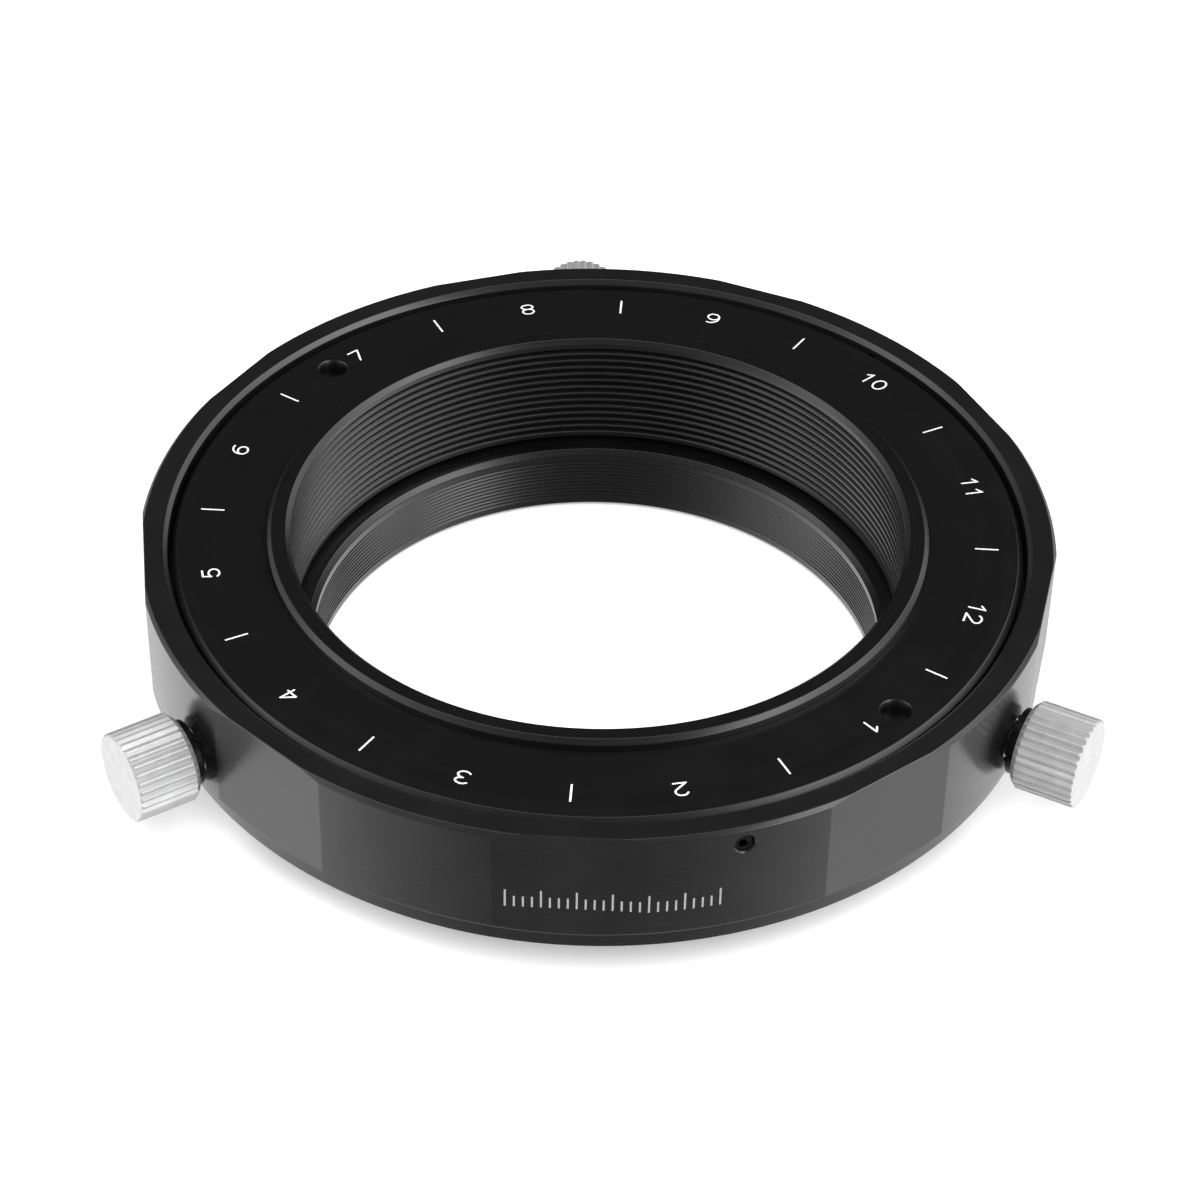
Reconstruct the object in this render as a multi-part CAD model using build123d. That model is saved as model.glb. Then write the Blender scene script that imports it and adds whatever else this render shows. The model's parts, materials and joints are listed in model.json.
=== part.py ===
"""Rotation mount for a 54 mm optical train: a threaded rotor that turns inside a body ring.

Millimetres.  +Z is the optical axis, pointing at the camera side.  The origin is on that axis,
in the plane of the body's underside, where the male thread starts.  -Y is the front.
"""
from build123d import *
import math
import os

# ---- driving dimensions -------------------------------------------------------------------

# threads (annular grooves stand for the helix)
thread_major_radius = 27.0        # M54 nominal
thread_pitch = 0.75
spigot_length = 5.5               # male thread below the body

# body ring
body_height = 12.0
flat_count = 9
flat_depth = 0.49                 # how far each side flat is cut below the round
first_flat_angle = -92.5
top_chamfer = 0.32
foot_depth = 0.53                 # the round foot band, how far inside the body's round
foot_height = 1.3
shoulder_height = 0.6             # of the slope from the foot band out to the body's round
rim_wall = 2.5                    # wall around the dial
rim_bevel = 0.4                   # on the inner edge of the rim

# rotor
sleeve_wall = 3.0                 # outside the thread, where the sleeve runs in the body
collar_wall = 1.6                 # outside the thread, where the collar passes the dial
collar_rise = 1.0                 # collar above the dial face
collar_bevel = 0.4
sleeve_foot_chamfer = 0.3
clamp_groove_depth = 0.8
clamp_groove_floor = 0.8          # width of the groove's flat floor

# dial
dial_width = 8.12                 # from its bore to its edge
dial_recess = 0.4                 # dial face below the rim
dial_thickness = 2.4
dial_gap = 0.35                   # between the dial's edge and the rim
dial_bevel = 0.45
scale_margin = 3.15               # from the dial's edge to the middle of the ticks and figures
figure_count = 12
first_figure_angle = -48.0        # where figure 1 stands, figures run clockwise
figure_height = 1.44              # between the middles of the strokes
figure_width = 1.05
figure_advance = 1.5              # from one digit of a figure to the next
figure_stroke = 0.18
tick_length = 2.05
tick_width = 0.18
engraving_depth = 0.12
paint_sink = 0.02                 # paint surface below the dial face
spanner_hole_radius = 1.25
spanner_hole_depth = 1.5
spanner_hole_rim = 0.12           # countersink around each spanner hole
spanner_hole_angle = 137.0
captive_groove_depth = 0.9
captive_groove_width = 1.2

# base adapter ring
adapter_wall = 2.0                # between the male thread and the bore
adapter_floor = 1.0               # thickness under the rotor
adapter_rim_height = 1.7
adapter_rim_width = 4.0           # outside the rotor
baffle_pitch = 0.4                # fine light-stopping grooves in the bore
baffle_depth = 0.1
bore_lip = 0.45                   # plain land at each end of the grooved bore
bore_chamfer = 0.45               # at both mouths of the bore

# glide rings
glide_thickness = 0.25
upper_glide_wall = 5.0
upper_glide_margin = 0.7          # inside the body's recess
lower_glide_wall = 2.2

# clamping thumbscrews
screw_count = 3
first_screw_angle = 92.8
screw_height = 4.4                # axis above the body's underside
screw_radius = 2.0                # M4
screw_pitch = 0.7
head_radius = 3.9
head_length = 5.6
head_gap = 1.1                    # from the round of the body to the knurled part
head_inner_chamfer = 0.5
head_outer_chamfer = 0.15
neck_radius = 2.9
neck_length = 0.7
flute_count = 32
flute_depth = 0.3
stud_in_head = 3.0
pad_length = 2.65
pad_tip_radius = 0.35

# captive screws
captive_radius = 0.8              # M1.6
captive_rise = 1.1                # axis above the dial's underside
captive_sink = 0.2                # below the round of the body
captive_point_radius = 0.45
captive_angle = -72.5
captive_hex = 0.7                 # socket across flats
captive_hex_depth = 0.8

# clearances
running_clearance = 0.05          # radial, sleeve in body and studs in their holes
thread_clearance = 0.03           # radial, where one piece is screwed into another
axial_play = 0.05
tip_clearance = 0.1               # pad in the clamp groove, captive point in its groove

# ---- derived places -----------------------------------------------------------------------

female_crest_radius = thread_major_radius - 0.5413 * thread_pitch
male_root_radius = thread_major_radius - 0.6134 * thread_pitch

sleeve_radius = thread_major_radius + sleeve_wall
collar_radius = thread_major_radius + collar_wall
body_bore_radius = sleeve_radius + running_clearance

dial_bore_radius = collar_radius + thread_clearance
dial_radius = dial_bore_radius + dial_width
scale_radius = dial_radius - scale_margin
recess_radius = dial_radius + dial_gap
body_radius = recess_radius + rim_wall
dial_top = body_height - dial_recess
dial_bottom = dial_top - dial_thickness
collar_top = dial_top + collar_rise
web_top = dial_bottom - axial_play - glide_thickness
sleeve_bottom = adapter_floor + glide_thickness + axial_play
adapter_bore_radius = thread_major_radius - adapter_wall
adapter_radius = sleeve_radius + adapter_rim_width
adapter_seat_radius = adapter_radius + thread_clearance

screw_hole_radius = screw_radius + running_clearance
clamp_groove_radius = sleeve_radius - clamp_groove_depth
pad_tip = clamp_groove_radius + tip_clearance
pad_end = pad_tip + pad_length
pad_radius = screw_radius - axial_play
stud_start = pad_end + axial_play
head_start = body_radius + head_gap
head_end = head_start + head_length

captive_height = dial_bottom + captive_rise
captive_outer = body_radius - captive_sink
captive_inner = recess_radius
captive_groove_radius = dial_radius - captive_groove_depth
captive_tip = captive_groove_radius + tip_clearance
captive_hole_radius = captive_radius + thread_clearance

screw_angles = [first_screw_angle + k * 360 / screw_count for k in range(screw_count)]
captive_angles = [captive_angle + k * 360 / screw_count for k in range(screw_count)]
beyond = 2 * body_radius          # a length that reaches past everything


# ---- helpers ------------------------------------------------------------------------------

def turned(points):
    """Solid of revolution about Z from a closed outline of (radius, height) points."""
    outline = Polyline(*points, close=True)
    return revolve(Plane.XZ * make_face(outline), axis=Axis.Z)


def grooves(start, end, crest, root, pitch, crest_flat, root_flat):
    """Outline points of a row of annular V grooves from height start to end, lands at both ends."""
    step = math.copysign(1, end - start)
    flank = (pitch - crest_flat - root_flat) / 2
    turns = int((abs(end - start) - crest_flat) / pitch)
    land = (abs(end - start) - turns * pitch + crest_flat) / 2
    points = [(crest, start)]
    for turn in range(turns):
        mouth = start + step * (land + turn * pitch)
        points.append((crest, mouth))
        points.append((root, mouth + step * flank))
        points.append((root, mouth + step * (flank + root_flat)))
        points.append((crest, mouth + step * (2 * flank + root_flat)))
    points.append((crest, end))
    return points


def radial(angle, height, radius):
    """Frame on a side at an angle and height, its Z pointing outward, its X level."""
    direction = Vector(1, 0, 0).rotate(Axis.Z, angle)
    level = Vector(0, 1, 0).rotate(Axis.Z, angle)
    return Plane(direction * radius + Vector(0, 0, height), x_dir=level, z_dir=direction)


def rod(angle, height, inner, outer, radius):
    """Round bar that lies radially from one distance to another."""
    frame = radial(angle, height, inner)
    return frame * Cylinder(radius, outer - inner, align=(Align.CENTER, Align.CENTER, Align.MIN))


def radial_turned(angle, height, points):
    """Solid of revolution about a radial axis from (radius, distance from the optical axis)."""
    return radial(angle, height, 0) * turned(points)


# ---- body and adapter ---------------------------------------------------------------------

def make_flat_cutter():
    """Everything outside one side flat on the +X side."""
    place = Pos(body_radius - flat_depth, 0, 0)
    return place * Box(beyond, beyond, beyond, align=(Align.MIN, Align.CENTER, Align.CENTER))


def make_body_ring():
    body = turned([
        (adapter_seat_radius, 0),
        (adapter_seat_radius, adapter_rim_height),
        (body_bore_radius, adapter_rim_height),
        (body_bore_radius, web_top),
        (recess_radius, web_top),
        (recess_radius, body_height - rim_bevel),
        (recess_radius + rim_bevel, body_height),
        (body_radius - top_chamfer, body_height),
        (body_radius, body_height - top_chamfer),
        (body_radius, foot_height + shoulder_height),
        (body_radius - foot_depth, foot_height),
        (body_radius - foot_depth, 0),
    ])
    for k in range(flat_count):
        body -= Rot(0, 0, first_flat_angle + k * 360 / flat_count) * make_flat_cutter()
    for angle in screw_angles:
        body -= rod(angle, screw_height, 0, beyond, screw_hole_radius)
    for angle in captive_angles:
        body -= rod(angle, captive_height, 0, beyond, captive_hole_radius)
    return body


def make_base_adapter_ring():
    spigot = grooves(
        0, -spigot_length, thread_major_radius, male_root_radius,
        thread_pitch, thread_pitch / 8, thread_pitch / 4,
    )
    bore = grooves(
        -spigot_length + bore_chamfer + bore_lip, adapter_floor - bore_chamfer - bore_lip,
        adapter_bore_radius, adapter_bore_radius + baffle_depth,
        baffle_pitch, baffle_pitch / 4, baffle_pitch / 8,
    )
    return turned(
        [
            (adapter_bore_radius + bore_chamfer, -spigot_length),
            (adapter_bore_radius, -spigot_length + bore_chamfer),
        ]
        + bore
        + [
            (adapter_bore_radius, adapter_floor - bore_chamfer),
            (adapter_bore_radius + bore_chamfer, adapter_floor),
            (body_bore_radius, adapter_floor),
            (body_bore_radius, adapter_rim_height),
            (adapter_radius, adapter_rim_height),
            (adapter_radius, 0),
        ]
        + spigot
    )


# ---- rotor --------------------------------------------------------------------------------

def make_rotor_sleeve():
    lead_in = thread_major_radius - female_crest_radius
    groove_mouth = clamp_groove_floor / 2 + clamp_groove_depth
    thread = grooves(
        collar_top - lead_in, sleeve_bottom + lead_in, female_crest_radius, thread_major_radius,
        thread_pitch, thread_pitch / 4, thread_pitch / 8,
    )
    return turned(
        [
            (sleeve_radius - sleeve_foot_chamfer, sleeve_bottom),
            (sleeve_radius, sleeve_bottom + sleeve_foot_chamfer),
            (sleeve_radius, screw_height - groove_mouth),
            (clamp_groove_radius, screw_height - clamp_groove_floor / 2),
            (clamp_groove_radius, screw_height + clamp_groove_floor / 2),
            (sleeve_radius, screw_height + groove_mouth),
            (sleeve_radius, dial_bottom),
            (collar_radius, dial_bottom),
            (collar_radius, collar_top - collar_bevel),
            (collar_radius - collar_bevel, collar_top),
            (thread_major_radius, collar_top),
        ]
        + thread
        + [(thread_major_radius, sleeve_bottom)]
    )


def bowl(middle, half_height, start, sweep):
    """Elliptical arc as wide as a digit, placed by shares of the digit's height."""
    centre = (figure_width / 2, middle * figure_height)
    return EllipticalCenterArc(
        centre, figure_width / 2, half_height * figure_height, start, arc_size=sweep
    )


def cell(points):
    """Points given as shares of a digit's width and height."""
    return [(x * figure_width, y * figure_height) for x, y in points]


def straight(*points):
    corners = cell(points)
    return [Line(start, end) for start, end in zip(corners, corners[1:])]


def hook(*points):
    return ThreePointArc(*cell(points))


def digit_strokes(digit):
    """Middle lines of a digit's strokes."""
    strokes = {
        "0": [bowl(0.5, 0.5, 0, 180), bowl(0.5, 0.5, 180, 180)],
        "1": straight((0.2, 0.72), (0.62, 1), (0.62, 0)),
        "2": [bowl(0.71, 0.29, -40, 200), *straight((0.88, 0.52), (0, 0), (1, 0))],
        "3": [bowl(0.76, 0.24, -90, 240), bowl(0.26, 0.26, -150, 240)],
        "4": straight((0.75, 0), (0.75, 1), (0, 0.3), (1, 0.3)),
        "5": [*straight((0.92, 1), (0.18, 1), (0.08, 0.5)), bowl(0.32, 0.32, -150, 285)],
        "6": [
            bowl(0.31, 0.31, 0, 180), bowl(0.31, 0.31, 180, 180),
            hook((0, 0.31), (0.25, 0.86), (0.9, 0.95)),
        ],
        "7": straight((0, 1), (1, 1), (0.35, 0)),
        "8": [
            bowl(0.76, 0.24, 0, 180), bowl(0.76, 0.24, 180, 180),
            bowl(0.26, 0.26, 0, 180), bowl(0.26, 0.26, 180, 180),
        ],
        "9": [
            bowl(0.69, 0.31, 0, 180), bowl(0.69, 0.31, 180, 180),
            hook((1, 0.69), (0.75, 0.14), (0.1, 0.05)),
        ],
    }
    return strokes[digit]


def digit_face(digit):
    """A digit with round stroke ends, centred on the origin."""
    face = Sketch()
    for line in digit_strokes(digit):
        face += trace(line, figure_stroke)
        for end in (line @ 0, line @ 1):
            face += Pos(end) * Circle(figure_stroke / 2)
    return Pos(-figure_width / 2, -figure_height / 2) * face


def figure_faces(text):
    start = -figure_advance * (len(text) - 1) / 2
    return [Pos(start + k * figure_advance, 0) * digit_face(digit) for k, digit in enumerate(text)]


def figure_places():
    """Each figure's text with the angle that it stands at."""
    step = 360 / figure_count
    return [(str(k + 1), first_figure_angle - k * step) for k in range(figure_count)]


def engraved(face, angle, depth, top):
    """A flat shape sunk into the dial at an angle, its top toward the rim."""
    place = Pos(0, 0, top) * Rot(0, 0, angle) * Pos(scale_radius, 0, 0) * Rot(0, 0, -90)
    return extrude(place * face, -depth)


def make_ticks(depth, top):
    step = 360 / figure_count
    tick = Rectangle(tick_width, tick_length)
    return [engraved(tick, angle + step / 2, depth, top) for _, angle in figure_places()]


def make_figures(depth, top):
    return [
        engraved(face, angle, depth, top)
        for text, angle in figure_places()
        for face in figure_faces(text)
    ]


def make_dial_ring():
    groove_low = captive_height - captive_groove_width / 2
    groove_high = captive_height + captive_groove_width / 2
    dial = turned([
        (dial_bore_radius, dial_bottom),
        (dial_radius, dial_bottom),
        (dial_radius, groove_low),
        (captive_groove_radius, groove_low),
        (captive_groove_radius, groove_high),
        (dial_radius, groove_high),
        (dial_radius, dial_top - dial_bevel),
        (dial_radius - dial_bevel, dial_top),
        (dial_bore_radius, dial_top),
    ])
    hole = turned([
        (0, dial_top - spanner_hole_depth),
        (spanner_hole_radius, dial_top - spanner_hole_depth),
        (spanner_hole_radius, dial_top - spanner_hole_rim),
        (spanner_hole_radius + spanner_hole_rim, dial_top),
        (spanner_hole_radius + spanner_hole_rim, beyond),
        (0, beyond),
    ])
    for angle in (spanner_hole_angle, spanner_hole_angle + 180):
        dial -= Rot(0, 0, angle) * Pos(scale_radius, 0, 0) * hole
    for mark in make_ticks(engraving_depth, dial_top) + make_figures(engraving_depth, dial_top):
        dial -= mark
    return dial


def painted(make_marks):
    """White paint that fills the engraving, as one group of separate solids."""
    depth = engraving_depth - paint_sink
    marks = make_marks(depth, dial_top - paint_sink)
    return Compound([solid for mark in marks for solid in mark.solids()])


def glide_ring(inner, wall, bottom):
    return turned([
        (inner, bottom),
        (inner + wall, bottom),
        (inner + wall, bottom + glide_thickness),
        (inner, bottom + glide_thickness),
    ])


# ---- thumbscrews and captive screws -------------------------------------------------------

def make_head(angle):
    envelope = radial_turned(angle, screw_height, [
        (0, head_start - neck_length),
        (neck_radius, head_start - neck_length),
        (neck_radius, head_start),
        (head_radius - head_inner_chamfer, head_start),
        (head_radius, head_start + head_inner_chamfer),
        (head_radius, head_end - head_outer_chamfer),
        (head_radius - head_outer_chamfer, head_end),
        (0, head_end),
    ])
    side = 2 * flute_depth
    flute = Rot(0, 0, 45) * Rectangle(side, side)      # one corner cuts the V
    centre = head_radius - flute_depth + side / math.sqrt(2)
    section = Sketch() + [loc * flute for loc in PolarLocations(centre, flute_count)]
    flutes = radial(angle, screw_height, head_start) * extrude(section, head_length)
    head = envelope - flutes
    return head - rod(angle, screw_height, 0, head_start + stud_in_head, screw_radius)


def make_stud(angle):
    head_face = head_start - neck_length
    crest_flat = screw_pitch / 8
    thread = grooves(
        stud_start, head_face, screw_radius, screw_radius - 0.6134 * screw_pitch,
        screw_pitch, crest_flat, screw_pitch / 4,
    )
    return radial_turned(angle, screw_height, [
        (0, stud_start),
        *thread,
        (screw_radius, head_start + stud_in_head),
        (0, head_start + stud_in_head),
    ])


def make_pad(angle):
    return radial_turned(angle, screw_height, [
        (0, pad_tip),
        (pad_tip_radius, pad_tip),
        (pad_radius, pad_tip + pad_radius - pad_tip_radius),
        (pad_radius, pad_end),
        (0, pad_end),
    ])


def make_captive_screw(angle):
    screw = radial_turned(angle, captive_height, [
        (0, captive_tip),
        (captive_point_radius, captive_tip),
        (captive_point_radius, captive_inner),
        (captive_radius, captive_inner),
        (captive_radius, captive_outer),
        (0, captive_outer),
    ])
    socket = RegularPolygon(captive_hex / 2, 6, major_radius=False)
    floor = radial(angle, captive_height, captive_outer - captive_hex_depth)
    return screw - floor * extrude(socket, captive_hex_depth)


# ---- files --------------------------------------------------------------------------------

def make_nodes():
    nodes = {
        "body_ring": make_body_ring(),
        "base_adapter_ring": make_base_adapter_ring(),
        "rotor_sleeve": make_rotor_sleeve(),
        "dial_ring": make_dial_ring(),
        "dial_figures": painted(make_figures),
        "dial_ticks": painted(make_ticks),
        "upper_glide_ring": glide_ring(
            recess_radius - upper_glide_margin - upper_glide_wall, upper_glide_wall, web_top
        ),
        "lower_glide_ring": glide_ring(
            body_bore_radius - running_clearance - lower_glide_wall, lower_glide_wall, adapter_floor
        ),
    }
    for k, angle in enumerate(screw_angles, start=1):
        nodes[f"thumbscrew_head_{k}"] = make_head(angle)
        nodes[f"thumbscrew_stud_{k}"] = make_stud(angle)
        nodes[f"clamp_pad_{k}"] = make_pad(angle)
    for k, angle in enumerate(captive_angles, start=1):
        nodes[f"captive_screw_{k}"] = make_captive_screw(angle)
    return nodes


os.makedirs("parts", exist_ok=True)
for name, shape in make_nodes().items():
    export_step(shape, f"parts/{name}.step")
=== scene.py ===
"""Looks of the rotation mount: smooth turned rings, fluted thumbscrews, engraved dial, studio.

Metres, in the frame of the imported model: +Z is the optical axis, -Y is the front.
"""
import json
import math

import bmesh
import bpy
import numpy as np
from mathutils import Matrix, Vector


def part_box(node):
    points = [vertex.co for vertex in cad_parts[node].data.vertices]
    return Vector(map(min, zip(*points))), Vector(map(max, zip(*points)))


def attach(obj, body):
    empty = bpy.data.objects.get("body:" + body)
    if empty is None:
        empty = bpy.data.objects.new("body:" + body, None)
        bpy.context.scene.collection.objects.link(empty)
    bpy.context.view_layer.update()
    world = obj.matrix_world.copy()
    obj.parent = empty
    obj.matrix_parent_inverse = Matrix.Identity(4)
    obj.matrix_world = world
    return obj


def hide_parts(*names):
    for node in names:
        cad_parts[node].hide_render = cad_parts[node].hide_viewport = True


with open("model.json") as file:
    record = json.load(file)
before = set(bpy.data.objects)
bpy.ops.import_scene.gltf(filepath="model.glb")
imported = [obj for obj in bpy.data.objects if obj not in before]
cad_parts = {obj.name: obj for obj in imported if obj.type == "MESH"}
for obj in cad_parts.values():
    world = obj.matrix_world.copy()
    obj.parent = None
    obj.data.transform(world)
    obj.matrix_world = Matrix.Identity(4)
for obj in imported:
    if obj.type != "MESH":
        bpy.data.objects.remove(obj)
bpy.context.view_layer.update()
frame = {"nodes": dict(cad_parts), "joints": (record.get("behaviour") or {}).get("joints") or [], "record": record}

mm = 0.001

# ---- sizes taken from the frame -----------------------------------------------------------


def corners(node):
    """All the vertices of a CAD node, as an array."""
    return np.array([v.co for v in frame["nodes"][node].data.vertices])


def reach(node):
    """Largest and smallest distance of a CAD node from the optical axis."""
    distances = np.hypot(corners(node)[:, 0], corners(node)[:, 1])
    return distances.max(), distances.min()


def mount(name):
    return next(m for m in frame["record"]["mounts"] if m["name"] == name)


def joint(name):
    return next(j for j in frame["joints"] if j["name"] == name)


body_radius = reach("body_ring")[0]
body_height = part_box("body_ring")[1].z
dial_radius, dial_bore = reach("dial_ring")
dial_bottom, dial_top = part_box("dial_ring")[0].z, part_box("dial_ring")[1].z
sleeve_radius = reach("rotor_sleeve")[0]
sleeve_bottom, collar_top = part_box("rotor_sleeve")[0].z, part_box("rotor_sleeve")[1].z
adapter_radius, adapter_bore = reach("base_adapter_ring")
spigot_end, adapter_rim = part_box("base_adapter_ring")[0].z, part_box("base_adapter_ring")[1].z
web_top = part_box("upper_glide_ring")[0].z
adapter_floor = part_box("lower_glide_ring")[0].z
female_crest = mount("camera_thread")["dims"]["r_mm"] * mm
male_crest = mount("telescope_thread")["dims"]["r_mm"] * mm

screw_names = [f"thumbscrew_{k}" for k in (1, 2, 3)]
screw_axes = [Vector(joint(f"{name}_turn")["axis"]).normalized() for name in screw_names]
screw_height = joint("thumbscrew_1_turn")["pos_m"][2]
captive_middles = [sum(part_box(f"captive_screw_{k}"), Vector()) / 2 for k in (1, 2, 3)]

# ---- sizes of details ---------------------------------------------------------------------

thread_pitch = 0.75 * mm
running_clearance = 0.05 * mm
thread_clearance = 0.03 * mm        # where one piece is screwed into another
beyond = 1 * mm                     # how far cutters reach past what they cut
paint_lift = 0.3 * mm               # how far the engraving's cutters reach above the dial
weld = 1e-7                         # metres, vertices this close are joined
turned_weld = 1e-8                  # the same on a turned outline

segments = 720                      # around each ring
hole_segments = 64
level_normal = 0.9999               # faces this level, or this large, are shaded flat
large_face = 20 * mm ** 2
sharp_angle = math.radians(32)      # edges sharper than this stay sharp

edge = 0.06 * mm                    # rounding of turned edges
arc_steps = (0, 0.33, 0.67, 1)      # points along a rounding
arc_share = 0.3                     # the most of a neighbouring side that a rounding takes
arc_margin = 1.5                    # where the extra point beyond an arc stands, in roundings

flat_count = 9
flat_depth = 0.49 * mm
flat_reach = 9 * mm                 # half the width of a flat's cutter, past the flat's ends
first_flat = math.radians(-92.5)
top_chamfer = 0.32 * mm
foot_depth = 0.53 * mm
foot_height = 1.3 * mm
shoulder_height = 0.6 * mm
rim_wall = 2.5 * mm
rim_bevel = 0.4 * mm
body_bore = sleeve_radius + running_clearance

dial_bevel = 0.45 * mm
captive_groove_depth = 0.9 * mm
captive_groove_width = 1.2 * mm
captive_height = captive_middles[0].z
scale_radius = dial_radius - 3.15 * mm
spanner_radius = 1.25 * mm
spanner_depth = 1.5 * mm
spanner_rim = 0.12 * mm
spanner_angle = math.radians(137)

collar_radius = dial_bore - thread_clearance
collar_bevel = 0.4 * mm
clamp_groove_depth = 0.8 * mm
clamp_groove_floor = 0.8 * mm
sleeve_foot_chamfer = 0.3 * mm

baffle_pitch = 0.4 * mm
baffle_depth = 0.1 * mm
bore_lip = 0.45 * mm
bore_chamfer = 0.45 * mm

screw_hole = 2.05 * mm
captive_hole = 0.83 * mm
mouth_depth = 0.12 * mm             # countersink of both kinds of hole

head_start = body_radius + 1.1 * mm
head_end = head_start + 5.6 * mm
head_radius = 3.9 * mm
head_inner_chamfer = 0.5 * mm
head_outer_chamfer = 0.15 * mm
neck_radius = 2.9 * mm
neck_length = 0.7 * mm
flute_count = 32
flute_depth = 0.3 * mm
flute_root = 0.03 * mm              # rounding at the bottom of the V
flute_crest = 0.05 * mm             # rounding between the V and the round
steps_per_flute = 18

# index lines on the front of the body, where the dial is read
index_count = 25
index_group = 4                     # one line in so many is long
index_spacing = 0.72 * mm
index_width = 0.16 * mm
index_height = 1.1 * mm
index_long = 1.8 * mm
index_base = 4.2 * mm
index_angle = math.radians(-87.5)
paint_thickness = 0.02 * mm

alumina_ior = 1.76                  # the anodised layer

# camera, in the photograph's frame of 1200 x 1200
image_size = 1200
camera_distance = 302.4 * mm
camera_elevation = math.radians(38.58)
camera_roll = math.radians(1.07)
focal_pixels = 3490
dial_centre_pixel = (598.1, 529.2)
sensor = 36.0

# studio, as (direction, brightness): side_glow below the horizon and sky_depth above it go from
# the front (-1) to the back (1), sky_width above it from the left (-1) to the right (1), and
# overhead_strip is a band of light across the top, also from front to back
side_glow = [
    (-0.78, 0.1), (-0.68, 0.13), (-0.5, 0.44), (-0.25, 0.9), (0.0, 1.15),
    (0.4, 1.5), (0.65, 1.3), (0.8, 0.6), (0.95, 0.4),
]
sky_depth = [(-0.8, 1.0), (0.2, 0.9), (0.6, 0.4), (0.8, 0.25)]
sky_width = [
    (-0.95, 0.8), (-0.82, 1.0), (-0.65, 0.4), (-0.3, 0.14), (0.36, 0.14),
    (0.5, 0.4), (0.62, 3.2), (0.76, 2.8), (0.88, 0.7),
]
overhead_strip = [(-0.2, 0.0), (-0.12, 1.4), (0.16, 1.4), (0.24, 0.0)]
horizon_blend = [(-0.12, 0), (0.12, 1)]   # from below the horizon to above it


# ---- mesh helpers -------------------------------------------------------------------------

def smooth(mesh):
    """Smooth shading, except on level faces and on the body's large side flats."""
    mesh.polygons.foreach_set("use_smooth", [True] * len(mesh.polygons))
    mesh.set_sharp_from_angle(angle=sharp_angle)
    for face in mesh.polygons:
        if abs(face.normal.z) > level_normal or face.area > large_face:
            face.use_smooth = False


def new_object(name, mesh):
    piece = bpy.data.objects.new(name, mesh)
    bpy.context.scene.collection.objects.link(piece)
    return piece


def rounded(points):
    """Outline with a small arc at every corner that carries a third value, its rounding.

    An extra point beyond each end of an arc keeps the shading of the long faces flat.
    """
    outline = []
    count = len(points)
    for k, point in enumerate(points):
        here = Vector(point[:2])
        radius = point[2] if len(point) > 2 else 0
        if not radius:
            outline.append(tuple(here))
            continue
        before = Vector(points[k - 1][:2]) - here
        after = Vector(points[(k + 1) % count][:2]) - here
        start = before.normalized() * min(radius, before.length * arc_share)
        end = after.normalized() * min(radius, after.length * arc_share)
        outline.append(tuple(here + start * arc_margin))
        for t in arc_steps:
            outline.append(tuple(here + start * (1 - t) ** 2 + end * t ** 2))
        outline.append(tuple(here + end * arc_margin))
    return outline


def outward(mesh):
    """Turns all faces of a closed mesh outward."""
    bm = bmesh.new()
    bm.from_mesh(mesh)
    bmesh.ops.recalc_face_normals(bm, faces=bm.faces)
    bm.to_mesh(mesh)
    bm.free()


def round_angles(count=segments):
    return [2 * math.pi * k / count for k in range(count)]


def lathe(name, points, angles=None, limit=None, place=Matrix.Identity(4)):
    """Ring or solid turned from a closed outline of (radius, height).

    limit(angle, radius, height) gives a smaller radius where the round is cut away.
    """
    outline = rounded(points)
    angles = angles or round_angles()
    vertices = []
    for angle in angles:
        for radius, height in outline:
            r = min(radius, limit(angle, radius, height)) if limit else radius
            vertices.append((r * math.cos(angle), r * math.sin(angle), height))
    count = len(outline)
    faces = []
    for a in range(len(angles)):
        b = (a + 1) % len(angles)
        for j in range(count):
            n = (j + 1) % count
            faces.append((a * count + j, b * count + j, b * count + n, a * count + n))
    mesh = bpy.data.meshes.new(name)
    mesh.from_pydata(vertices, [], faces)
    bm = bmesh.new()
    bm.from_mesh(mesh)
    bmesh.ops.remove_doubles(bm, verts=bm.verts, dist=turned_weld)
    bmesh.ops.dissolve_degenerate(bm, edges=bm.edges, dist=turned_weld)
    bmesh.ops.recalc_face_normals(bm, faces=bm.faces)
    bm.to_mesh(mesh)
    bm.free()
    mesh.transform(place)
    smooth(mesh)
    return new_object(name, mesh)


def radial_place(axis, height):
    """Matrix whose Z runs outward along axis at a height above the underside."""
    level = Vector((0, 0, 1)).cross(axis)
    up = axis.cross(level)
    rotation = Matrix((level, up, axis)).transposed().to_4x4()
    return Matrix.Translation((0, 0, height)) @ rotation


def cut(piece, cutters):
    """Takes the cutters out of a piece and removes them."""
    for cutter in cutters:
        modifier = piece.modifiers.new("cut", "BOOLEAN")
        modifier.object = cutter
        modifier.operation = "DIFFERENCE"
        modifier.solver = "EXACT"
    bpy.context.view_layer.update()
    depsgraph = bpy.context.evaluated_depsgraph_get()
    mesh = bpy.data.meshes.new_from_object(piece.evaluated_get(depsgraph))
    piece.modifiers.clear()
    piece.data = mesh
    smooth(mesh)
    for cutter in cutters:
        bpy.data.objects.remove(cutter)
    return piece


def joined_copy(name, node, lift):
    """Copy of a CAD node's mesh whose upper side is raised, to cut a recess with."""
    mesh = frame["nodes"][node].data.copy()
    middle = sum(v.co.z for v in mesh.vertices) / len(mesh.vertices)
    for vertex in mesh.vertices:
        if vertex.co.z > middle:
            vertex.co.z += lift
    bm = bmesh.new()
    bm.from_mesh(mesh)
    bmesh.ops.remove_doubles(bm, verts=bm.verts, dist=weld)
    bmesh.ops.recalc_face_normals(bm, faces=bm.faces)
    bm.to_mesh(mesh)
    bm.free()
    return new_object(name, mesh)


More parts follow.
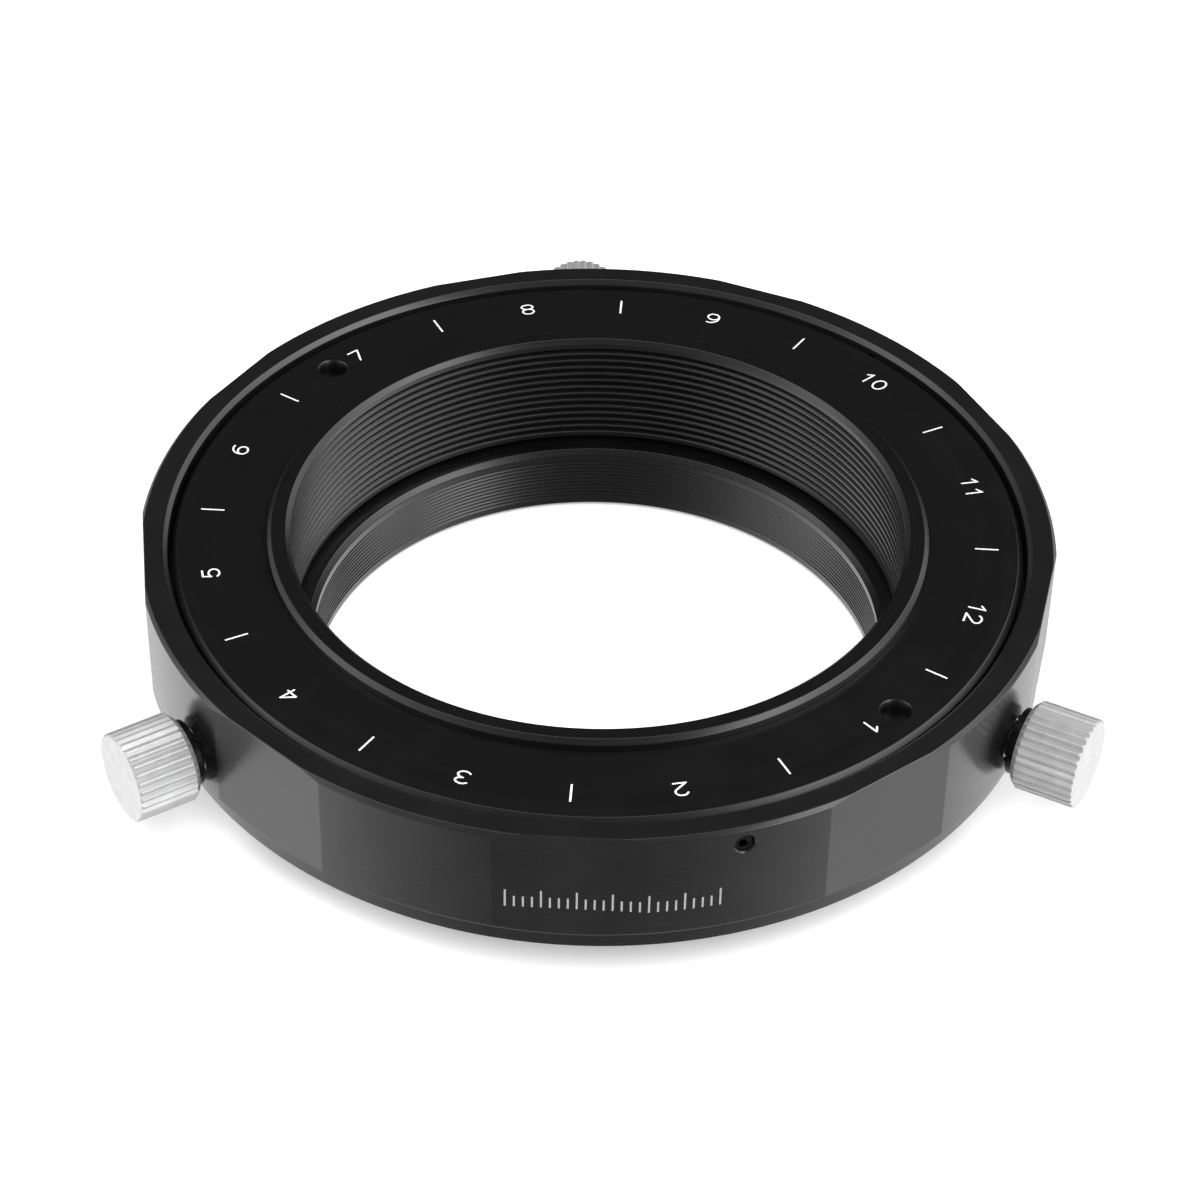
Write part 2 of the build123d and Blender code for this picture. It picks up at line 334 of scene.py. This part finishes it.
def grooves(start, end, crest, root, pitch, crest_flat, root_flat):
    """Outline points of a row of V grooves from height start to end, a land at both ends."""
    step = math.copysign(1, end - start)
    flank = (pitch - crest_flat - root_flat) / 2
    turns = int((abs(end - start) - crest_flat) / pitch)
    land = (abs(end - start) - turns * pitch + crest_flat) / 2
    points = [(crest, start)]
    for turn in range(turns):
        mouth = start + step * (land + turn * pitch)
        points.append((crest, mouth))
        points.append((root, mouth + step * flank))
        points.append((root, mouth + step * (flank + root_flat)))
        points.append((crest, mouth + step * (2 * flank + root_flat)))
    points.append((crest, end))
    return points


# ---- pieces -------------------------------------------------------------------------------

def make_flat_cutter(k):
    """Prism outside one side flat, leaning in at the top to break the flat's upper edge."""
    inner = body_radius - flat_depth
    outer = body_radius + beyond
    profile = [
        (inner, -beyond),
        (inner, body_height - edge),
        (inner - 2 * edge, body_height + edge),
        (outer, body_height + edge),
        (outer, -beyond),
    ]
    vertices = [(x, y, z) for y in (-flat_reach, flat_reach) for x, z in profile]
    count = len(profile)
    faces = [tuple(range(count)), tuple(range(2 * count - 1, count - 1, -1))]
    faces += [(j, j + count, (j + 1) % count + count, (j + 1) % count) for j in range(count)]
    mesh = bpy.data.meshes.new(f"flat_cutter_{k}")
    mesh.from_pydata(vertices, [], faces)
    outward(mesh)
    mesh.transform(Matrix.Rotation(first_flat + 2 * math.pi * k / flat_count, 4, "Z"))
    return new_object(f"flat_cutter_{k}", mesh)


def make_body_ring():
    recess = body_radius - rim_wall
    seat = adapter_radius + thread_clearance
    body = lathe("body_ring_turned", [
        (seat, 0),
        (seat, adapter_rim),
        (body_bore, adapter_rim),
        (body_bore, web_top),
        (recess, web_top),
        (recess, body_height - rim_bevel, edge),
        (recess + rim_bevel, body_height, edge),
        (body_radius - top_chamfer, body_height, edge),
        (body_radius, body_height - top_chamfer, edge),
        (body_radius, foot_height + shoulder_height),
        (body_radius - foot_depth, foot_height, edge),
        (body_radius - foot_depth, 0, edge),
    ])
    cutters = [make_flat_cutter(k) for k in range(flat_count)]
    for k, axis in enumerate(screw_axes):
        cutters.append(make_rod(f"screw_cutter_{k}", axis, screw_height, screw_hole))
    for k, middle in enumerate(captive_middles):
        axis = Vector((middle.x, middle.y, 0)).normalized()
        cutters.append(make_rod(f"captive_cutter_{k}", axis, captive_height, captive_hole))
    return cut(body, cutters)


def make_rod(name, axis, height, radius):
    """Bar from inside the wall to outside the body, with a countersunk mouth."""
    start = body_bore - beyond
    mouth = body_radius - mouth_depth
    flare = 2 * mouth_depth
    end = body_radius + beyond
    return lathe(name, [
        (0, start),
        (radius, start),
        (radius, mouth),
        (radius + flare, mouth + flare),
        (radius + flare, end),
        (0, end),
    ], angles=round_angles(hole_segments), place=radial_place(axis, height))


def make_base_adapter_ring():
    spigot = grooves(
        0, spigot_end, male_crest, male_crest - 0.6134 * thread_pitch,
        thread_pitch, thread_pitch / 8, thread_pitch / 4,
    )
    bore = grooves(
        spigot_end + bore_chamfer + bore_lip, adapter_floor - bore_chamfer - bore_lip, adapter_bore,
        adapter_bore + baffle_depth, baffle_pitch, baffle_pitch / 4, baffle_pitch / 8,
    )
    return lathe("base_adapter_turned", [
        (adapter_bore + bore_chamfer, spigot_end, edge),
        (adapter_bore, spigot_end + bore_chamfer, edge),
        *bore,
        (adapter_bore, adapter_floor - bore_chamfer, edge),
        (adapter_bore + bore_chamfer, adapter_floor, edge),
        (body_bore, adapter_floor),
        (body_bore, adapter_rim),
        (adapter_radius, adapter_rim),
        (adapter_radius, 0),
        *spigot,
    ])


def make_rotor_sleeve():
    major = male_crest
    lead_in = major - female_crest
    mouth = clamp_groove_floor / 2 + clamp_groove_depth
    floor_radius = sleeve_radius - clamp_groove_depth
    thread = grooves(
        collar_top - lead_in, sleeve_bottom + lead_in, female_crest, major,
        thread_pitch, thread_pitch / 4, thread_pitch / 8,
    )
    return lathe("rotor_sleeve_turned", [
        (sleeve_radius - sleeve_foot_chamfer, sleeve_bottom),
        (sleeve_radius, sleeve_bottom + sleeve_foot_chamfer),
        (sleeve_radius, screw_height - mouth),
        (floor_radius, screw_height - clamp_groove_floor / 2),
        (floor_radius, screw_height + clamp_groove_floor / 2),
        (sleeve_radius, screw_height + mouth),
        (sleeve_radius, dial_bottom),
        (collar_radius, dial_bottom),
        (collar_radius, collar_top - collar_bevel, edge),
        (collar_radius - collar_bevel, collar_top, edge),
        (major, collar_top, edge),
        *thread,
        (major, sleeve_bottom),
    ])


def make_dial_ring():
    low = captive_height - captive_groove_width / 2
    high = captive_height + captive_groove_width / 2
    groove = dial_radius - captive_groove_depth
    dial = lathe("dial_ring_turned", [
        (dial_bore, dial_bottom),
        (dial_radius, dial_bottom),
        (dial_radius, low),
        (groove, low),
        (groove, high),
        (dial_radius, high),
        (dial_radius, dial_top - dial_bevel, edge),
        (dial_radius - dial_bevel, dial_top, edge),
        (dial_bore, dial_top),
    ])
    cutters = []
    for k, angle in enumerate((spanner_angle, spanner_angle + math.pi)):
        middle = Matrix.Rotation(angle, 4, "Z") @ Matrix.Translation((scale_radius, 0, 0))
        cutters.append(lathe(f"spanner_cutter_{k}", [
            (0, dial_top - spanner_depth),
            (spanner_radius, dial_top - spanner_depth),
            (spanner_radius, dial_top - spanner_rim),
            (spanner_radius + 2 * spanner_rim, dial_top + spanner_rim),
            (0, dial_top + spanner_rim),
        ], angles=round_angles(hole_segments), place=middle))
    cutters.append(joined_copy("figure_cutter", "dial_figures", paint_lift))
    cutters.append(joined_copy("tick_cutter", "dial_ticks", paint_lift))
    return cut(dial, cutters)


def flute_limit(angle, radius, height):
    """Cuts the straight flutes into a head."""
    if height < head_start - weld or radius <= neck_radius:
        return radius
    step = 2 * math.pi / flute_count
    offset = (angle + step / 2) % step - step / 2
    across = math.hypot(math.sin(offset), flute_root / head_radius)
    flank = (head_radius - flute_depth) / (math.cos(offset) - across)
    return (flank + head_radius - math.hypot(flank - head_radius, flute_crest)) / 2


def make_head(k, axis):
    angles = round_angles(flute_count * steps_per_flute)
    return lathe(f"thumbscrew_head_{k}_fluted", [
        (0, head_start - neck_length),
        (neck_radius, head_start - neck_length, edge),
        (neck_radius, head_start),
        (head_radius - head_inner_chamfer, head_start, edge),
        (head_radius, head_start + head_inner_chamfer, edge),
        (head_radius, head_end - head_outer_chamfer, edge),
        (head_radius - head_outer_chamfer, head_end, edge),
        (0, head_end),
    ], angles=angles, limit=flute_limit, place=radial_place(axis, screw_height))


def outside_radius(angle):
    """Distance of the body's side from the axis, on its round or on a flat."""
    step = 2 * math.pi / flat_count
    offset = (angle - first_flat + step / 2) % step - step / 2
    return min(body_radius, (body_radius - flat_depth) / math.cos(offset))


def make_index_lines():
    """Thin painted graduation on the front, wrapped on the body's side."""
    vertices = []
    faces = []
    for k in range(index_count):
        turn = (k - (index_count - 1) / 2) * index_spacing / body_radius
        tall = index_long if k % index_group == 0 else index_height
        half = index_width / 2 / body_radius
        top = index_base + tall
        corner_places = ((-half, index_base), (half, index_base), (half, top), (-half, top))
        start = len(vertices)
        for lift in (-paint_thickness, paint_thickness):
            for aside, z in corner_places:
                angle = index_angle + turn + aside
                r = outside_radius(angle) + lift
                vertices.append((r * math.cos(angle), r * math.sin(angle), z))
        a = start
        faces += [(a, a + 1, a + 2, a + 3), (a + 4, a + 5, a + 6, a + 7)]
        faces += [(a + j, a + (j + 1) % 4, a + 4 + (j + 1) % 4, a + 4 + j) for j in range(4)]
    mesh = bpy.data.meshes.new("index_lines")
    mesh.from_pydata(vertices, [], faces)
    outward(mesh)
    return new_object("index_lines", mesh)


# ---- materials ----------------------------------------------------------------------------

class Shader:
    """A new node material with short ways to add and link nodes."""

    def __init__(self, name):
        self.material = bpy.data.materials.new(name)
        self.material.use_nodes = True
        self.tree = self.material.node_tree
        self.tree.nodes.clear()
        self.output = self.add("ShaderNodeOutputMaterial")
        self.surface = self.add("ShaderNodeBsdfPrincipled")
        self.link(self.surface, "BSDF", self.output, "Surface")
        self.place = self.add("ShaderNodeTexCoord")

    def add(self, kind, **settings):
        node = self.tree.nodes.new(kind)
        for key, value in settings.items():
            setattr(node, key, value)
        return node

    def link(self, source, out, target, into):
        self.tree.links.new(source.outputs[out], target.inputs[into])

    def set(self, **values):
        for key, value in values.items():
            self.surface.inputs[key.replace("_", " ")].default_value = value

    def noise(self, scale, detail=4, source=None, out="Object"):
        node = self.add("ShaderNodeTexNoise")
        node.inputs["Scale"].default_value = scale
        node.inputs["Detail"].default_value = detail
        self.link(source or self.place, out, node, "Vector")
        return node

    def ramp(self, source, out, low, high, start=0.3, end=0.7):
        node = self.add("ShaderNodeMapRange")
        node.inputs["From Min"].default_value = start
        node.inputs["From Max"].default_value = end
        node.inputs["To Min"].default_value = low
        node.inputs["To Max"].default_value = high
        self.link(source, out, node, "Value")
        return node

    def colours(self, source, out, dark, light):
        node = self.add("ShaderNodeMix", data_type="RGBA")
        node.inputs["A"].default_value = (*dark, 1)
        node.inputs["B"].default_value = (*light, 1)
        self.link(source, out, node, "Factor")
        self.link(node, "Result", self.surface, "Base Color")

    def radius_lines(self, scale):
        """Noise that changes only with the distance from the axis and the height: turning marks."""
        split = self.add("ShaderNodeSeparateXYZ")
        self.link(self.place, "Object", split, "Vector")
        square_x = self.add("ShaderNodeMath", operation="MULTIPLY")
        square_y = self.add("ShaderNodeMath", operation="MULTIPLY")
        for axis, square in (("X", square_x), ("Y", square_y)):
            self.link(split, axis, square, 0)
            self.link(split, axis, square, 1)
        total = self.add("ShaderNodeMath", operation="ADD")
        self.link(square_x, 0, total, 0)
        self.link(square_y, 0, total, 1)
        root = self.add("ShaderNodeMath", operation="SQRT")
        self.link(total, 0, root, 0)
        joined = self.add("ShaderNodeCombineXYZ")
        self.link(root, 0, joined, "X")
        self.link(split, "Z", joined, "Z")
        return self.noise(scale, 3, joined, "Vector")

    def bump(self, source, out, strength, distance, base=None):
        node = self.add("ShaderNodeBump")
        node.inputs["Strength"].default_value = strength
        node.inputs["Distance"].default_value = distance
        self.link(source, out, node, "Height")
        if base:
            self.link(base, "Normal", node, "Normal")
        self.link(node, "Normal", self.surface, "Normal")
        return node


def black_anodised(name, dark, light, rough_low, rough_high, grain):
    """Black anodised aluminium: fine blasted grain over faint turning marks."""
    shader = Shader(name)
    shader.set(Metallic=0.0, IOR=alumina_ior, Specular_IOR_Level=0.5)
    cloud = shader.noise(180, 5)
    level = shader.ramp(cloud, "Fac", 0, 1)
    shader.colours(level, "Result", dark, light)
    lines = shader.radius_lines(9000)
    rough = shader.ramp(lines, "Fac", rough_low, rough_high)
    shader.link(rough, "Result", shader.surface, "Roughness")
    turning = shader.bump(lines, "Fac", 0.05, 0.00002)
    fine = shader.noise(14000, 2)
    shader.bump(fine, "Fac", grain, 0.00002, turning)
    return shader.material


def bright_aluminium():
    shader = Shader("bright_aluminium")
    shader.set(Metallic=0.6, IOR=1.45)
    cloud = shader.noise(900, 4)
    level = shader.ramp(cloud, "Fac", 0, 1)
    shader.colours(level, "Result", (0.5, 0.5, 0.505), (0.58, 0.58, 0.585))
    rough = shader.ramp(shader.noise(4000, 3), "Fac", 0.32, 0.4)
    shader.link(rough, "Result", shader.surface, "Roughness")
    shader.bump(shader.noise(16000, 2), "Fac", 0.02, 0.00002)
    return shader.material


def plain_metal(name, dark, light, rough_low, rough_high):
    shader = Shader(name)
    shader.set(Metallic=1.0)
    level = shader.ramp(shader.noise(2500, 4), "Fac", 0, 1)
    shader.colours(level, "Result", dark, light)
    rough = shader.ramp(shader.noise(6000, 3), "Fac", rough_low, rough_high)
    shader.link(rough, "Result", shader.surface, "Roughness")
    shader.bump(shader.noise(15000, 2), "Fac", 0.1, 0.00002)
    return shader.material


def paint(name, dark, light, rough):
    shader = Shader(name)
    shader.set(Metallic=0.0)
    level = shader.ramp(shader.noise(3000, 4), "Fac", 0, 1)
    shader.colours(level, "Result", dark, light)
    level = shader.ramp(shader.noise(7000, 3), "Fac", rough - 0.08, rough + 0.08)
    shader.link(level, "Result", shader.surface, "Roughness")
    shader.bump(shader.noise(12000, 2), "Fac", 0.1, 0.00002)
    return shader.material


def wear(piece, material):
    piece.data.materials.clear()
    piece.data.materials.append(material)


def paint_neck_shade(head, axis, material):
    """Gives a head's neck, the part between the body and the flutes, a black material as painted shade in the gap
    beside the body.
    """
    head.data.materials.append(material)
    for face in head.data.polygons:
        if face.center.dot(axis) < head_start - edge:
            face.material_index = 1


# ---- assembly -----------------------------------------------------------------------------

side_black = black_anodised(
    "black_anodised", (0.006, 0.006, 0.0062), (0.009, 0.009, 0.0093), 0.20, 0.28, 0.02)
fine_black = black_anodised(
    "black_anodised_fine", (0.0025, 0.0025, 0.0027), (0.004, 0.004, 0.0042), 0.24, 0.32, 0.02)
dial_black = black_anodised(
    "dial_black", (0.0015, 0.0015, 0.0016), (0.003, 0.003, 0.0031), 0.30, 0.38, 0.06)
silver = bright_aluminium()
steel = plain_metal("stud_steel", (0.5, 0.5, 0.5), (0.65, 0.65, 0.65), 0.25, 0.4)
brass = plain_metal("pad_brass", (0.7, 0.52, 0.25), (0.82, 0.63, 0.33), 0.28, 0.42)
# black oxide on the captive screws; the same black is also the painted shade on the thumbscrew necks
oxide_and_neck_shade = plain_metal("screw_black", (0.02, 0.02, 0.02), (0.05, 0.05, 0.05), 0.35, 0.5)
white = paint("white_paint", (0.82, 0.82, 0.81), (0.92, 0.92, 0.91), 0.5)
grey = paint("index_paint", (0.26, 0.26, 0.26), (0.32, 0.32, 0.32), 0.5)
glide = paint("glide_plastic", (0.8, 0.8, 0.78), (0.88, 0.88, 0.86), 0.45)


def put(piece, body, material, replaced=None):
    wear(piece, material)
    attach(piece, body)
    if replaced:
        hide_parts(replaced)


put(make_body_ring(), "housing", side_black, "body_ring")
put(make_base_adapter_ring(), "housing", fine_black, "base_adapter_ring")
put(make_rotor_sleeve(), "rotor", fine_black, "rotor_sleeve")
put(make_dial_ring(), "rotor", dial_black, "dial_ring")
put(make_index_lines(), "housing", grey)
for number, (name, axis) in enumerate(zip(screw_names, screw_axes), start=1):
    head = make_head(number, axis)
    put(head, name, silver, f"thumbscrew_head_{number}")
    # the silver head's neck is painted black: painted shade in the gap between the head and the body
    paint_neck_shade(head, axis, oxide_and_neck_shade)
    wear(frame["nodes"][f"thumbscrew_stud_{number}"], steel)
    wear(frame["nodes"][f"clamp_pad_{number}"], brass)
    wear(frame["nodes"][f"captive_screw_{number}"], oxide_and_neck_shade)
for node in ("dial_figures", "dial_ticks"):
    wear(frame["nodes"][node], white)
for node in ("upper_glide_ring", "lower_glide_ring"):
    wear(frame["nodes"][node], glide)


# ---- studio -------------------------------------------------------------------------------

def make_floor():
    bpy.ops.mesh.primitive_plane_add(size=6, location=(0, 0, spigot_end))
    floor = bpy.context.object
    floor.name = "floor"
    shader = Shader("floor")
    level = shader.ramp(shader.noise(3, 2), "Fac", 0, 1)
    shader.colours(level, "Result", (0.9, 0.9, 0.9), (0.92, 0.92, 0.92))
    shader.set(Roughness=0.9, Specular_IOR_Level=0.1, Emission_Color=(1, 1, 1, 1), Emission_Strength=0.3)
    wear(floor, shader.material)
    floor.visible_glossy = False


def make_world():
    """Studio seen in the faces: darker in front, pale at both sides, a softbox high on the right."""
    world = bpy.data.worlds.new("studio")
    bpy.context.scene.world = world
    world.use_nodes = True
    tree = world.node_tree
    background = tree.nodes["Background"]
    place = tree.nodes.new("ShaderNodeTexCoord")
    split = tree.nodes.new("ShaderNodeSeparateXYZ")
    tree.links.new(place.outputs["Generated"], split.inputs["Vector"])

    def ramp(axis, stops):
        """Brightness along one axis of the direction, from (position, brightness) pairs."""
        level = tree.nodes.new("ShaderNodeMapRange")
        level.inputs["From Min"].default_value = -1
        level.inputs["From Max"].default_value = 1
        tree.links.new(split.outputs[axis], level.inputs["Value"])
        node = tree.nodes.new("ShaderNodeValToRGB")
        tree.links.new(level.outputs["Result"], node.inputs["Fac"])
        elements = node.color_ramp.elements
        while len(elements) < len(stops):
            elements.new(0.5)
        for element, (position, brightness) in zip(elements, stops):
            element.position = (position + 1) / 2
            element.color = (brightness, brightness, brightness, 1)
        return node.outputs["Color"]

    def mixed(factor, a, b, blend="MIX"):
        node = tree.nodes.new("ShaderNodeMix")
        node.data_type = "RGBA"
        node.blend_type = blend
        if factor is None:
            node.inputs["Factor"].default_value = 1
        else:
            tree.links.new(factor, node.inputs["Factor"])
        tree.links.new(a, node.inputs["A"])
        tree.links.new(b, node.inputs["B"])
        return node.outputs["Result"]

    below = ramp("Y", side_glow)
    above = mixed(None, ramp("X", sky_width), ramp("Y", sky_depth), "MULTIPLY")
    above = mixed(None, above, ramp("Y", overhead_strip), "LIGHTEN")
    height = ramp("Z", horizon_blend)
    tree.links.new(mixed(height, below, above), background.inputs["Color"])
    background.inputs["Strength"].default_value = 1.0


def add_area(name, location, target, size, power):
    light = bpy.data.lights.new(name, "AREA")
    light.shape = "RECTANGLE"
    light.size, light.size_y = size
    light.energy = power
    lamp = bpy.data.objects.new(name, light)
    bpy.context.scene.collection.objects.link(lamp)
    lamp.location = location
    lamp.rotation_euler = (Vector(target) - Vector(location)).to_track_quat("-Z", "Y").to_euler()
    lamp.visible_glossy = False


def make_camera():
    """Looks from the front, with the dial's centre where the photograph has it."""
    centre = Vector((0, 0, dial_top))
    offset = Vector((0, -math.cos(camera_elevation), math.sin(camera_elevation)))
    to_dial = -offset
    right = Vector((1, 0, 0))
    up = right.cross(to_dial)
    rolled_right = right * math.cos(camera_roll) + up * math.sin(camera_roll)
    rolled_up = up * math.cos(camera_roll) - right * math.sin(camera_roll)
    across = (dial_centre_pixel[0] - image_size / 2) / focal_pixels
    above = (image_size / 2 - dial_centre_pixel[1]) / focal_pixels
    forward = (to_dial - rolled_right * across - rolled_up * above).normalized()
    side = (rolled_right - forward * rolled_right.dot(forward)).normalized()
    rotation = Matrix((side, side.cross(forward), -forward)).transposed()
    data = bpy.data.cameras.new("camera")
    data.sensor_width = sensor
    data.lens = focal_pixels / image_size * sensor
    data.clip_start = 0.01
    camera = bpy.data.objects.new("camera", data)
    bpy.context.scene.collection.objects.link(camera)
    camera.matrix_world = Matrix.Translation(centre + offset * camera_distance) @ rotation.to_4x4()
    bpy.context.scene.camera = camera


make_floor()
make_world()
add_area("key", (0, -0.30, 0.42), (0, 0, 0), (0.35, 0.25), 2.6)
add_area("left", (-0.5, 0.05, 0.25), (0, 0, 0), (0.3, 0.5), 1.0)
add_area("right", (0.5, 0.05, 0.25), (0, 0, 0), (0.3, 0.5), 0.7)
make_camera()
bpy.context.scene.view_settings.view_transform = "Standard"
